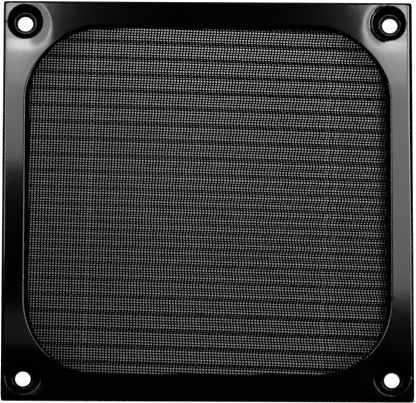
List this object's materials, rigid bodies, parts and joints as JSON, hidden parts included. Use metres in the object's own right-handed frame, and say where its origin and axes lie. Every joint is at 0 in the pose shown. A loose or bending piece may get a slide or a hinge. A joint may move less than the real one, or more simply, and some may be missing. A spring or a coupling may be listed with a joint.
{
  "type": "fan dust filter",
  "caption": "Square metal dust filter for a fan: folded frame with a rounded opening, pleated wire screen and countersunk corner screw recesses.",
  "frame": {"origin": "centre of the rear face, on the plane of the folded hem that the filter rests on", "axes": "+Z out of the front face, +X along the pleats, +Y across them"},
  "size_m": [0.1178, 0.1178, 0.0041],
  "materials": {
    "gloss_black": "gloss",
    "satin_black": "satin",
    "wire_black": "satin"
  },
  "bodies": {
    "root": {"front_frame": "gloss_black", "rear_frame": "satin_black", "filter_screen": "wire_black"}
  },
  "joints": []
}
